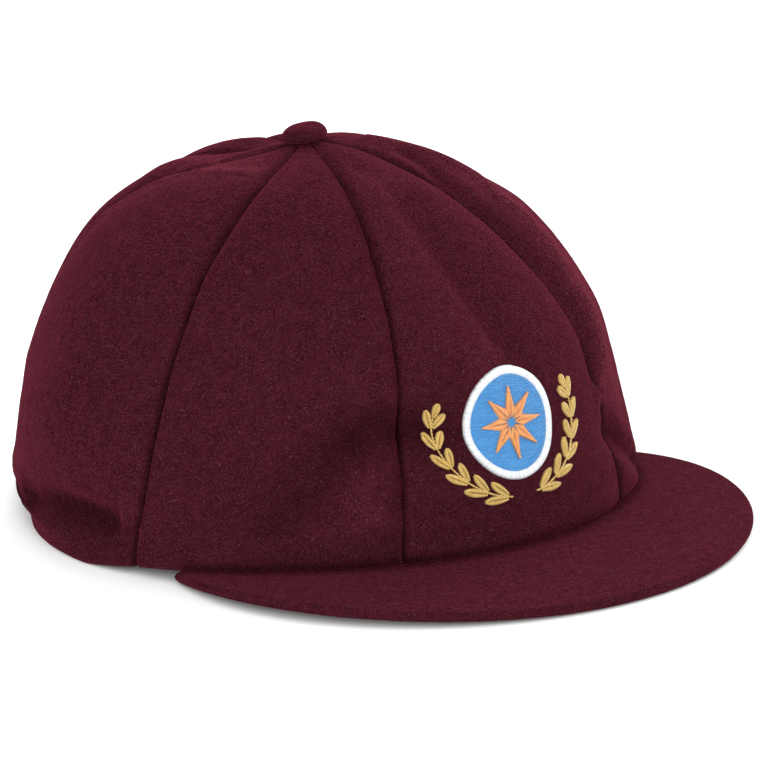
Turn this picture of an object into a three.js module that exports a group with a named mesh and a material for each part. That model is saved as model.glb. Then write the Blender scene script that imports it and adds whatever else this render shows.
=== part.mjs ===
import * as THREE from "three";

// Cricket cap of felted wool cloth: eight crown panels, a stiff peak, a covered button and a sewn badge.
// Millimetres, +Z up. The peak points along -Y, and the wearer's right is -X.
// Azimuths are degrees from the front round to the wearer's right. Height shares run from the crown's
// lower edge, 0, to its top, 1.

// Crown
const rimHalfLength = 97;
const rimHalfWidth = 91;
const crownHeight = 113;
const clothThickness = 2;
const seamGap = 0.3;
const seamDepth = 1.5;
const seamReach = 7;
const creaseDepth = 0.8;
const creaseReach = 1.8;
const foldDepth = 2.4;

// The soft top leans back, dips under the button and slopes down towards one azimuth.
const crownLean = 2.8;
const leanPower = 5;
const topDip = 2.3;
const topSlope = 0.12;
const topSlopeAzimuth = 130;
const topReach = 25;

// The crown's lower edge rises over the peak by rimRise at the front.
const rimRise = 7;
const riseFlatness = 0.78;

// The gathered back: an elastic pulls the hem in below a soft overhang.
const elasticInset = 6;
const hemHeight = 2.2;
const overhangHeight = 7;
const gatherStart = 88;
const gatherFull = 134;
const gatherDepth = 1;
const gatherHeight = 18;
const gatherWaves = 20;

// Peak
const peakReach = 47;
const peakThickness = 3;
const peakEndAzimuth = 68.5;
const peakFullness = 2;
const peakArch = 6.3;
const peakCurve = 1.2;
const peakGap = 0.3;

// Button and the shank that holds it in the middle of the crown
const buttonRadius = 6.5;
const buttonEdge = 1.4;
const buttonDome = 4.4;
const buttonGap = 0.3;
const shankRadius = 1.2;
const shankClearance = 0.8;
const shankLength = 4;

// Badge on the front panel
const badgeAzimuth = 3;
const badgeShare = 0.33;
const badgeGap = 0.4;
const badgeThickness = 0.6;
const fieldRadius = 13.5;
const borderWidth = 2.4;
const starRadius = 10.5;
const starWaist = 4.6;
const starPoints = 8;
const roundCorners = 32;
const sprigHalfWidth = 25;
const sprigDrop = 20.5;
const sprigLeafWidth = 3.1;
const sprigStemWidth = 0.8;
const sprigLeaves = 6;
const sprigStart = 14;
const sprigEnd = 112;

// Outer faces of the crown: shares of crownHeight, rimHalfLength and rimHalfWidth
const crownSections = [
  { height: 0, front: 1, side: 1.01, back: 1.03 },
  { height: 0.06, front: 0.992, side: 1.014, back: 1.008 },
  { height: 0.15, front: 0.98, side: 0.986, back: 0.966 },
  { height: 0.3, front: 0.931, side: 0.966, back: 0.94 },
  { height: 0.45, front: 0.895, side: 0.918, back: 0.906 },
  { height: 0.6, front: 0.8, side: 0.845, back: 0.833 },
  { height: 0.75, front: 0.648, side: 0.722, back: 0.718 },
  { height: 0.87, front: 0.478, side: 0.503, back: 0.53 },
  { height: 0.95, front: 0.257, side: 0.257, back: 0.305 },
  { height: 1, front: 0, side: 0, back: 0 },
];

// Dents and soft ridges, each along a line from one place to another.
// Azimuths in degrees, heights as height shares, spread as a share of crownHeight, rise of foldDepth.
const folds = [
  { azimuth: 50, height: 0.1, toAzimuth: 40, toHeight: 0.26, spread: 0.075, rise: -0.6 },
  { azimuth: 40, height: 0.26, toAzimuth: 29, toHeight: 0.38, spread: 0.085, rise: -0.75 },
  { azimuth: 29, height: 0.38, toAzimuth: 14, toHeight: 0.34, spread: 0.075, rise: -0.4 },
  { azimuth: 31, height: 0.24, toAzimuth: 29, toHeight: 0.13, spread: 0.08, rise: 0.75 },
  { azimuth: 14, height: 0.9, toAzimuth: 4, toHeight: 0.62, spread: 0.06, rise: 0.5 },
  { azimuth: 4, height: 0.62, toAzimuth: 0, toHeight: 0.46, spread: 0.06, rise: 0.3 },
  { azimuth: -1, height: 0.85, toAzimuth: -8, toHeight: 0.66, spread: 0.07, rise: -0.4 },
  { azimuth: -42, height: 0.78, toAzimuth: -33, toHeight: 0.58, spread: 0.06, rise: 0.7 },
  { azimuth: -33, height: 0.58, toAzimuth: -34, toHeight: 0.3, spread: 0.06, rise: 0.7 },
  { azimuth: -26, height: 0.2, toAzimuth: -38, toHeight: 0.04, spread: 0.05, rise: -0.7 },
  { azimuth: 124, height: 0.7, toAzimuth: 133, toHeight: 0.87, spread: 0.06, rise: 0.5 },
  { azimuth: 133, height: 0.87, toAzimuth: 100, toHeight: 0.93, spread: 0.045, rise: 0.6 },
  { azimuth: 100, height: 0.81, toAzimuth: 124, toHeight: 0.75, spread: 0.06, rise: -0.4 },
  { azimuth: 112, height: 0.17, toAzimuth: 88, toHeight: 0.2, spread: 0.05, rise: 0.45 },
  { azimuth: 108, height: 0.1, toAzimuth: 84, toHeight: 0.11, spread: 0.045, rise: -0.7 },
];

// Seams between panels: where each meets the lower edge and the top, and how far it sways to the back in
// the slack upper part of the crown, all in degrees. The left side mirrors the right.
const seamsOnRight = [
  { rim: 27, top: 22.5, sway: 0 },
  { rim: 78, top: 67.5, sway: 0 },
  { rim: 140, top: 127, sway: 5 },
  { rim: 166, top: 163, sway: 0 },
];
const seamBend = 0.94;
const swayHeight = 0.86;
const swaySpread = 0.12;

// Panels in order from the front round by the wearer's right, with their numbers of columns
const panels = [
  { name: "panel_front", columns: 16 },
  { name: "panel_front_right", columns: 14 },
  { name: "panel_side_right", columns: 14 },
  { name: "panel_back_right", columns: 8 },
  { name: "panel_back", columns: 8 },
  { name: "panel_back_left", columns: 8 },
  { name: "panel_side_left", columns: 12 },
  { name: "panel_front_left", columns: 12 },
];
const panelRows = 18;
const rowSpread = 1.5;
const columnCrowding = 0.6;

const woolCloth = new THREE.MeshStandardMaterial({ color: 0x4a1b25, roughness: 0.95, metalness: 0 });
const peakCloth = new THREE.MeshStandardMaterial({ color: 0x521d29, roughness: 0.95, metalness: 0 });
const blueThread = new THREE.MeshStandardMaterial({ color: 0x3686c6, roughness: 0.6, metalness: 0 });
const silverThread = new THREE.MeshStandardMaterial({ color: 0xc8ccd2, roughness: 0.5, metalness: 0 });
const goldThread = new THREE.MeshStandardMaterial({ color: 0xba9245, roughness: 0.5, metalness: 0 });
const amberThread = new THREE.MeshStandardMaterial({ color: 0xc77f48, roughness: 0.6, metalness: 0 });

function radians(degrees) {
  return THREE.MathUtils.degToRad(degrees);
}

function degrees(angle) {
  return THREE.MathUtils.radToDeg(angle);
}

// The signed difference of two azimuths, between -180 and 180
function azimuthBetween(from, to) {
  return THREE.MathUtils.euclideanModulo(to - from + 180, 360) - 180;
}

// Slopes of a smooth curve through one column of the section table that never overshoots its rows
function columnSlopes(name) {
  const steps = [];
  for (let i = 1; i < crownSections.length; i += 1) {
    const rise = crownSections[i][name] - crownSections[i - 1][name];
    steps.push(rise / (crownSections[i].height - crownSections[i - 1].height));
  }
  const slopes = [steps[0]];
  for (let i = 1; i < steps.length; i += 1) {
    const same = steps[i - 1] * steps[i] > 0;
    slopes.push(same ? (2 * steps[i - 1] * steps[i]) / (steps[i - 1] + steps[i]) : 0);
  }
  slopes.push(steps[steps.length - 1]);
  return slopes;
}

const sectionSlopes = {
  front: columnSlopes("front"),
  side: columnSlopes("side"),
  back: columnSlopes("back"),
};

function sectionShare(name, share) {
  const height = THREE.MathUtils.clamp(share, 0, 1);
  let row = 1;
  while (row < crownSections.length - 1 && crownSections[row].height < height) {
    row += 1;
  }
  const low = crownSections[row - 1];
  const high = crownSections[row];
  const span = high.height - low.height;
  const x = (height - low.height) / span;
  const slopes = sectionSlopes[name];
  const lowWeight = 2 * x ** 3 - 3 * x ** 2 + 1;
  const highWeight = 3 * x ** 2 - 2 * x ** 3;
  const lowBend = x ** 3 - 2 * x ** 2 + x;
  const highBend = x ** 3 - x ** 2;
  const values = low[name] * lowWeight + high[name] * highWeight;
  return values + span * (slopes[row - 1] * lowBend + slopes[row] * highBend);
}

function sectionRadius(azimuth, share) {
  const along = Math.cos(radians(azimuth));
  const across = Math.sin(radians(azimuth));
  const lengthColumn = along > 0 ? "front" : "back";
  const halfLength = rimHalfLength * sectionShare(lengthColumn, share);
  const halfWidth = rimHalfWidth * sectionShare("side", share);
  return 1 / Math.hypot(along / halfLength, across / halfWidth);
}

// Height of the crown's lower edge
function edgeHeight(azimuth) {
  const along = Math.max(Math.cos(radians(azimuth)), 0);
  return rimRise * ((1 + riseFlatness) * along - riseFlatness * along ** 2);
}

function heightAt(azimuth, share) {
  const edge = edgeHeight(azimuth);
  return edge + share * (crownHeight - edge);
}

// How far round the gathered back an azimuth lies: 0 in front of it, 1 where the elastic is in full pull
function gatherAt(azimuth) {
  const turned = Math.abs(azimuthBetween(0, azimuth));
  return THREE.MathUtils.smoothstep(turned, gatherStart, gatherFull);
}

// How far the soft top lies below its full height, at a radius from its middle
function topSag(azimuth, radius) {
  const along = radius * Math.cos(radians(azimuth - topSlopeAzimuth));
  return (topDip + topSlope * along) * Math.exp(-((radius / topReach) ** 2));
}

// A point of the crown's outer face without seams, folds and gathers
function bodyPoint(azimuth, share) {
  const height = heightAt(azimuth, share);
  const pull = 1 - THREE.MathUtils.smoothstep(height, hemHeight, overhangHeight);
  const radius = sectionRadius(azimuth, share) - elasticInset * gatherAt(azimuth) * pull;
  return new THREE.Vector3(
    -radius * Math.sin(radians(azimuth)),
    crownLean * share ** leanPower - radius * Math.cos(radians(azimuth)),
    height - topSag(azimuth, radius),
  );
}

// Outward direction. It is level along the lower edge, so that the edge's face is flat.
function bodyNormal(azimuth, share) {
  const step = 0.002;
  const low = Math.max(share - step, 0);
  const high = Math.min(share + step, 1 - step);
  const turn = 0.5;
  const sideways = bodyPoint(azimuth + turn, share).sub(bodyPoint(azimuth - turn, share));
  const upwards = bodyPoint(azimuth, high).sub(bodyPoint(azimuth, low));
  const normal = upwards.cross(sideways);
  if (share === 0) {
    normal.z = 0;
  }
  return normal.normalize();
}

// The seams all the way round, from the one on the left of the front panel
const mirrored = (seam, turn) => ({ rim: turn - seam.rim, top: turn - seam.top, sway: -seam.sway });
const seams = [
  mirrored(seamsOnRight[0], 0),
  ...seamsOnRight,
  ...[...seamsOnRight].reverse().map((seam) => mirrored(seam, 360)),
];

function seamAzimuth(seam, share) {
  const sway = seam.sway * Math.exp(-(((share - swayHeight) / swaySpread) ** 2));
  return seam.top + (seam.rim - seam.top) * (1 - share) ** seamBend + sway;
}

function seamRelief(azimuth, share) {
  const radius = sectionRadius(azimuth, share);
  const turns = seams.map((seam) => Math.abs(azimuthBetween(seamAzimuth(seam, share), azimuth)));
  const distance = radians(Math.min(...turns)) * radius;
  const fade = THREE.MathUtils.smoothstep(radius, 0, rimHalfWidth / 2);
  const valley = seamDepth * Math.exp(-((distance / seamReach) ** 2));
  const crease = creaseDepth * Math.exp(-((distance / creaseReach) ** 2));
  return -fade * (valley + crease);
}

// Distance from a place on the crown to the line of a fold, measured along the cloth
function foldDistance(fold, azimuth, share) {
  const radius = sectionRadius(azimuth, share);
  const place = (turn, height) => new THREE.Vector2(radians(turn) * radius, height * crownHeight);
  const start = place(0, fold.height);
  const end = place(azimuthBetween(fold.azimuth, fold.toAzimuth), fold.toHeight);
  const point = place(azimuthBetween(fold.azimuth, azimuth), share);
  const line = end.clone().sub(start);
  const along = THREE.MathUtils.clamp(point.clone().sub(start).dot(line) / line.lengthSq(), 0, 1);
  return point.distanceTo(start.addScaledVector(line, along));
}

function foldRelief(azimuth, share) {
  let relief = 0;
  for (const fold of folds) {
    const distance = foldDistance(fold, azimuth, share);
    relief += foldDepth * fold.rise * Math.exp(-((distance / (fold.spread * crownHeight)) ** 2));
  }
  return relief;
}

function gatherRelief(azimuth, share) {
  const fade = 1 - THREE.MathUtils.smoothstep(heightAt(azimuth, share), 0, gatherHeight);
  return -gatherDepth * gatherAt(azimuth) * fade * (0.5 + 0.5 * Math.cos(radians(azimuth * gatherWaves)));
}

// A point lifted off the crown's outer face, or sunk below it by a negative lift
function crownPoint(azimuth, share, lift) {
  const relief = seamRelief(azimuth, share) + foldRelief(azimuth, share) + gatherRelief(azimuth, share);
  return bodyPoint(azimuth, share).addScaledVector(bodyNormal(azimuth, share), relief + lift);
}

// A closed solid between a front and a back sheet that share their triangles
function slab(front, back, triangles) {
  const positions = [...front, ...back].flatMap((point) => point.toArray());
  const indices = [];
  const edges = new Map();
  for (const [a, b, c] of triangles) {
    indices.push(a, b, c);
    indices.push(c + front.length, b + front.length, a + front.length);
    for (const [from, to] of [[a, b], [b, c], [c, a]]) {
      edges.set(`${from}_${to}`, [from, to]);
    }
  }
  for (const [from, to] of edges.values()) {
    if (!edges.has(`${to}_${from}`)) {
      indices.push(to, from, from + front.length);
      indices.push(to, from + front.length, to + front.length);
    }
  }
  const geometry = new THREE.BufferGeometry();
  geometry.setAttribute("position", new THREE.Float32BufferAttribute(positions, 3));
  geometry.setIndex(indices);
  geometry.computeVertexNormals();
  return geometry;
}

// Triangles of a sheet whose points are listed column by column
function gridTriangles(columns, rows, closed = false) {
  const triangles = [];
  const count = columns + (closed ? 0 : 1);
  for (let column = 0; column < columns; column += 1) {
    const next = (column + 1) % count;
    for (let row = 0; row < rows; row += 1) {
      const a = column * (rows + 1) + row;
      const b = next * (rows + 1) + row;
      triangles.push([a, a + 1, b + 1], [a, b + 1, b]);
    }
  }
  return triangles;
}

function sheetPoints(columns, rows, place) {
  const points = [];
  for (let column = 0; column <= columns; column += 1) {
    for (let row = 0; row <= rows; row += 1) {
      points.push(place(column / columns, row / rows));
    }
  }
  return points;
}

// The height share at which the outer face has a given radius
function shareAtRadius(azimuth, radius) {
  let low = 0.5;
  let high = 1;
  for (let step = 0; step < 30; step += 1) {
    const middle = (low + high) / 2;
    if (sectionRadius(azimuth, middle) > radius) {
      low = middle;
    } else {
      high = middle;
    }
  }
  return low;
}

const centreHoleRadius = shankRadius + shankClearance;

function panelGeometry(number, columns) {
  const start = seams[number];
  const end = seams[number + 1];
  const place = (lift) => (across, up) => {
    const crowded = across - (columnCrowding * Math.sin(2 * Math.PI * across)) / (2 * Math.PI);
    const topShare = shareAtRadius((start.top + end.top) / 2, centreHoleRadius);
    const share = topShare * Math.sin((Math.PI / 2) * up ** rowSpread);
    const from = seamAzimuth(start, share);
    const to = seamAzimuth(end, share);
    const trim = degrees(seamGap / 2 / sectionRadius((from + to) / 2, share));
    const azimuth = from + trim + crowded * (to - from - 2 * trim);
    return crownPoint(azimuth, share, lift);
  };
  const outer = sheetPoints(columns, panelRows, place(0));
  const inner = sheetPoints(columns, panelRows, place(-clothThickness));
  return slab(outer, inner, gridTriangles(columns, panelRows));
}

// The share of peakReach that the peak has at an azimuth
function peakShare(azimuth) {
  return Math.max(1 - Math.abs(azimuth / peakEndAzimuth) ** peakFullness, 0);
}

// The front of the peak's underside lies level with the hem.
const peakDrop = rimRise - peakGap - peakThickness;

function peakGeometry() {
  const columns = 34;
  const flatRows = 8;
  const roundAngles = [55, 20];
  const rows = flatRows + roundAngles.length;
  const round = peakThickness / 2;
  const place = (side) => (across, out) => {
    const azimuth = peakEndAzimuth * Math.sin(Math.PI * (across - 0.5));
    const wall = sectionRadius(azimuth, 0);
    const reach = peakReach * peakShare(azimuth);
    const row = Math.round(out * rows);
    const angle = row > flatRows ? radians(roundAngles[row - flatRows - 1]) : Math.PI / 2;
    const inner = wall - clothThickness;
    const flatOut = Math.min(row / flatRows, 1);
    const radius = inner + (wall + reach - round - inner) * flatOut + round * Math.cos(angle);
    const outward = THREE.MathUtils.clamp((radius - wall) / Math.max(reach, round), 0, 1);
    const lean = peakShare(azimuth) * (peakArch * Math.sin(radians(azimuth)) ** 2 - peakDrop);
    const middle = edgeHeight(azimuth) - peakGap - round + lean * outward ** peakCurve;
    return new THREE.Vector3(
      -radius * Math.sin(radians(azimuth)),
      -radius * Math.cos(radians(azimuth)),
      middle + side * round * Math.sin(angle),
    );
  };
  const top = sheetPoints(columns, rows, place(1));
  const bottom = sheetPoints(columns, rows, place(-1));
  const triangles = gridTriangles(columns, rows).map(([a, b, c]) => [c, b, a]);
  return slab(top, bottom, triangles);
}

// The highest point of the crown at a radius from its middle, measured square to the sloping top
function seatHeight(radius) {
  let highest = 0;
  for (let azimuth = 0; azimuth < 360; azimuth += 15) {
    const share = shareAtRadius(azimuth, radius);
    const slope = topSlope * radius * Math.cos(radians(azimuth - topSlopeAzimuth));
    highest = Math.max(highest, crownPoint(azimuth, share, 0).z + slope);
  }
  return highest;
}

const topHeight = crownHeight - topDip;

// The button about the middle of the crown's top, with its axis upright
function buttonGeometry() {
  const sides = 24;
  const domeSteps = 5;
  const shankTop = seatHeight(centreHoleRadius) + buttonGap - topHeight;
  const rimBottom = seatHeight(buttonRadius) + buttonGap - topHeight;
  const profile = [
    new THREE.Vector2(0, shankTop - shankLength),
    new THREE.Vector2(shankRadius, shankTop - shankLength),
    new THREE.Vector2(shankRadius, shankTop),
    new THREE.Vector2(buttonRadius * 0.93, rimBottom),
    new THREE.Vector2(buttonRadius, rimBottom + buttonEdge / 2),
  ];
  for (let step = 0; step <= domeSteps; step += 1) {
    const angle = (Math.PI / 2) * (step / domeSteps);
    const radius = step < domeSteps ? buttonRadius * Math.cos(angle) : 0;
    profile.push(new THREE.Vector2(radius, rimBottom + buttonEdge + buttonDome * Math.sin(angle)));
  }
  const geometry = new THREE.LatheGeometry(profile, sides);
  return geometry.rotateX(Math.PI / 2);
}

// A place on the badge, from its middle: across to the viewer's right and up, lifted off the cloth
function badgePoint(across, up, lift) {
  const share = badgeShare + up / (crownHeight - rimRise);
  const azimuth = badgeAzimuth - degrees(across / sectionRadius(badgeAzimuth, share));
  return crownPoint(azimuth, share, lift);
}

function badgeSlab(places, triangles, base) {
  const front = places.map(([across, up]) => badgePoint(across, up, base + badgeThickness));
  const back = places.map(([across, up]) => badgePoint(across, up, base));
  return slab(front, back, triangles);
}

// A filled round or star shape: its outline gives the radius at each corner
function filledShape(outline, base) {
  const rings = 3;
  const places = [[0, 0]];
  const triangles = [];
  outline.forEach((radius, corner) => {
    const angle = (2 * Math.PI * corner) / outline.length;
    const next = (corner + 1) % outline.length;
    for (let ring = 1; ring <= rings; ring += 1) {
      const reach = (radius * ring) / rings;
      places.push([reach * Math.sin(-angle), reach * Math.cos(angle)]);
    }
    const first = 1 + corner * rings;
    const second = 1 + next * rings;
    triangles.push([0, first, second]);
    for (let ring = 0; ring < rings - 1; ring += 1) {
      triangles.push([first + ring, first + ring + 1, second + ring + 1]);
      triangles.push([first + ring, second + ring + 1, second + ring]);
    }
  });
  return badgeSlab(places, triangles, base);
}

function fieldGeometry() {
  const outline = [];
  for (let corner = 0; corner < roundCorners; corner += 1) {
    outline.push(fieldRadius);
  }
  return filledShape(outline, badgeGap);
}

function starGeometry() {
  const outline = [];
  for (let point = 0; point < starPoints; point += 1) {
    outline.push(starRadius, starWaist);
  }
  return filledShape(outline, badgeGap + badgeThickness + badgeGap);
}

function borderGeometry() {
  const places = [];
  for (let corner = 0; corner < roundCorners; corner += 1) {
    const angle = (-2 * Math.PI * corner) / roundCorners;
    for (const radius of [fieldRadius + badgeGap, fieldRadius + badgeGap + borderWidth]) {
      places.push([radius * Math.sin(angle), radius * Math.cos(angle)]);
    }
  }
  return badgeSlab(places, gridTriangles(roundCorners, 1, true), badgeGap);
}

// A leafy sprig along an elliptic arc round the lower half of the badge; side is 1 or -1
function sprigGeometry(side) {
  const leafOutline = [0.2, 0.85, 1, 0.7];
  const steps = sprigLeaves * leafOutline.length;
  const places = [];
  for (let step = 0; step <= steps; step += 1) {
    const angle = radians(sprigStart + ((sprigEnd - sprigStart) * step) / steps);
    const leaf = step < steps ? leafOutline[step % leafOutline.length] : 0;
    const halfWidth = sprigStemWidth + (sprigLeafWidth - sprigStemWidth) * leaf;
    for (const offset of [-side * halfWidth, side * halfWidth]) {
      const across = side * (sprigHalfWidth + offset) * Math.sin(angle);
      places.push([across, -(sprigDrop + offset) * Math.cos(angle)]);
    }
  }
  return badgeSlab(places, gridTriangles(steps, 1), badgeGap);
}

const cap = new THREE.Group();

function addPiece(name, geometry, material) {
  const piece = new THREE.Mesh(geometry, material);
  piece.name = name;
  cap.add(piece);
  return piece;
}

panels.forEach((panel, number) => {
  addPiece(panel.name, panelGeometry(number, panel.columns), woolCloth);
});
addPiece("peak", peakGeometry(), peakCloth);
const button = addPiece("button", buttonGeometry(), woolCloth);
button.position.set(0, crownLean, topHeight);
button.rotation.set(
  -Math.atan(topSlope) * Math.cos(radians(180 - topSlopeAzimuth)),
  -Math.atan(topSlope) * Math.sin(radians(180 - topSlopeAzimuth)),
  0,
);
addPiece("badge_field", fieldGeometry(), blueThread);
addPiece("badge_border", borderGeometry(), silverThread);
addPiece("badge_star", starGeometry(), amberThread);
addPiece("badge_sprig_right", sprigGeometry(-1), goldThread);
addPiece("badge_sprig_left", sprigGeometry(1), goldThread);

// The origin is the middle of the surface that the cap stands on.
const bounds = new THREE.Box3().setFromObject(cap);
const middle = bounds.getCenter(new THREE.Vector3());
cap.position.set(-middle.x, -middle.y, -bounds.min.z);

export default cap;
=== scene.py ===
import math

import bpy
import numpy as np
from mathutils import Matrix, Vector


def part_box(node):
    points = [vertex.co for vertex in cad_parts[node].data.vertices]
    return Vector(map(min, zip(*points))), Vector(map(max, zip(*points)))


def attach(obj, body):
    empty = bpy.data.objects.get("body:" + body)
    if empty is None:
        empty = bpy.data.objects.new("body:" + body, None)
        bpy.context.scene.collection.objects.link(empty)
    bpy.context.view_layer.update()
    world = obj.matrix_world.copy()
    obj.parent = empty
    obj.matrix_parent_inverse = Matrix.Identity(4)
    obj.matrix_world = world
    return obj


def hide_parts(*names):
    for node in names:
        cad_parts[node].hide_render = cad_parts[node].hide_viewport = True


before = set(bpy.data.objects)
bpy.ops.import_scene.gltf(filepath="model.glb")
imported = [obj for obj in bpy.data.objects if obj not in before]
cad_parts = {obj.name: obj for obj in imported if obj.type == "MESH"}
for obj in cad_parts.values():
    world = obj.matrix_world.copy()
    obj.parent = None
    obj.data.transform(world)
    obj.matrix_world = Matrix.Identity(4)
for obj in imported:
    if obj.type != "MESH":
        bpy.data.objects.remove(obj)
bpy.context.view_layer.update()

RANDOM_SEED = 11
MM = 0.001

# Lengths are millimetres in the crown's own frame, with its middle at x 0, y 0 and the hem at z 0.
# Azimuths are degrees from the front round to the wearer's right. Height shares run from the crown's
# lower edge, 0, to its top, 1.

# Crown, as in the model
RIM_HALF_LENGTH = 97.0
RIM_HALF_WIDTH = 91.0
CROWN_HEIGHT = 113.0
CLOTH = 2.0
CROWN_LEAN = 2.8
LEAN_POWER = 5
TOP_DIP = 2.3
TOP_SLOPE = 0.12
TOP_SLOPE_AZIMUTH = 130.0
TOP_REACH = 25.0
RIM_RISE = 7.0
RISE_FLATNESS = 0.78
ELASTIC_INSET = 6.0
HEM_HEIGHT = 2.2
OVERHANG_HEIGHT = 7.0
GATHER_START = 88.0
GATHER_FULL = 134.0
GATHER_DEPTH = 1.0
GATHER_HEIGHT = 18.0
GATHER_WAVES = 20
GATHER_SOFTER = 0.6
SEAM_BEND = 0.94
SEAM_RIM = np.array([27.0, 78.0, 140.0, 166.0])
SEAM_TOP = np.array([22.5, 67.5, 127.0, 163.0])
SEAM_SWAY = np.array([0.0, 0.0, 5.0, 0.0])
SWAY_HEIGHT = 0.86
SWAY_SPREAD = 0.12

# Peak, as in the model, and the button with the thickness of its cover
PEAK_REACH = 47.0
PEAK_THICKNESS = 3.0
PEAK_END = 68.5
PEAK_ARCH = 6.3
PEAK_CURVE = 1.2
PEAK_GAP = 0.3
PEAK_TUCK = 2.5
PEAK_EDGE_FROM = 0.9
PEAK_END_ROUND = 2.2
PEAK_UNEVEN = 0.35
PEAK_COLUMNS = 230
PEAK_ROWS = 54
PEAK_EDGE_ROWS = 12
BUTTON_RADIUS = 6.9
BUTTON_HEIGHT = 4.6
BUTTON_TOP_DROP = 5.8
BUTTON_WIDEST = 0.36
BUTTON_LOW_SIDE = math.radians(215)
BUTTON_PLEATS = 9
BUTTON_PLEAT_DEPTH = 0.16

# Badge, as in the model
BADGE_AZIMUTH = 3.0
BADGE_SHARE = 0.33
FIELD_RADIUS = 13.5
BORDER_WIDTH = 2.4
STAR_RADIUS = 10.5
STAR_WAIST = 4.6
STAR_POINTS = 8
SPRIG_HALF_WIDTH = 25.0
SPRIG_DROP = 20.5
SPRIG_START = 14.0
SPRIG_END = 112.0
SPRIG_LEAVES = 6
LEAF_LENGTH = 7.0

# How high the stitches start above the cloth, how high they stand and the thread's radius
STITCH_ROWS = {  # base, height, radius
    "field": (0.42, 0.16, 0.23),
    "border": (0.2, 0.72, 0.25),
    "star": (0.78, 0.5, 0.26),
    "leaf": (0.12, 0.5, 0.24),
    "stem": (0.3, 0.3, 0.3),
}
STITCH_STEPS = 7
STITCH_SIDES = 6
TWIST_LENGTH = 0.32
PAD_THICKNESS = 0.42
PAD_SINK = 0.3

# Cloth detail
SEAM_DEPTH = 1.5
SEAM_REACH = 7.0
SEAM_SHALLOW = 0.5
SEAM_FADE = 6.0
CREASE_DEPTH = 1.4
CREASE_REACH = 0.95
CREASE_WIDER = 0.75
SEAM_ROLL = 0.9
ROLL_REACH = 9.0
HEM_ROUND = 1.0
HEM_TALL = 2.6
GRID_STEP = 0.95
# painted shade in the seam creases; painted shadow where the crown meets the peak and round the button's
# foot, with its reach and fade
SEAM_PAINTED_SHADE = 3.2
JOIN_PAINTED_SHADOW = 6.0
JOIN_REACH = 2.5
JOIN_FADE = 4.0

# Outer faces of the crown: shares of the height and of the rim's half length and half width
SECTION_NAMES = ("height", "front", "side", "back")
SECTION_ROWS = (
    (0.00, 1.000, 1.010, 1.030),
    (0.06, 0.992, 1.014, 1.008),
    (0.15, 0.980, 0.986, 0.966),
    (0.30, 0.931, 0.966, 0.940),
    (0.45, 0.895, 0.918, 0.906),
    (0.60, 0.800, 0.845, 0.833),
    (0.75, 0.648, 0.722, 0.718),
    (0.87, 0.478, 0.503, 0.530),
    (0.95, 0.257, 0.257, 0.305),
    (1.00, 0.000, 0.000, 0.000),
)
SECTIONS = dict(zip(SECTION_NAMES, np.array(SECTION_ROWS).T))
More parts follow.
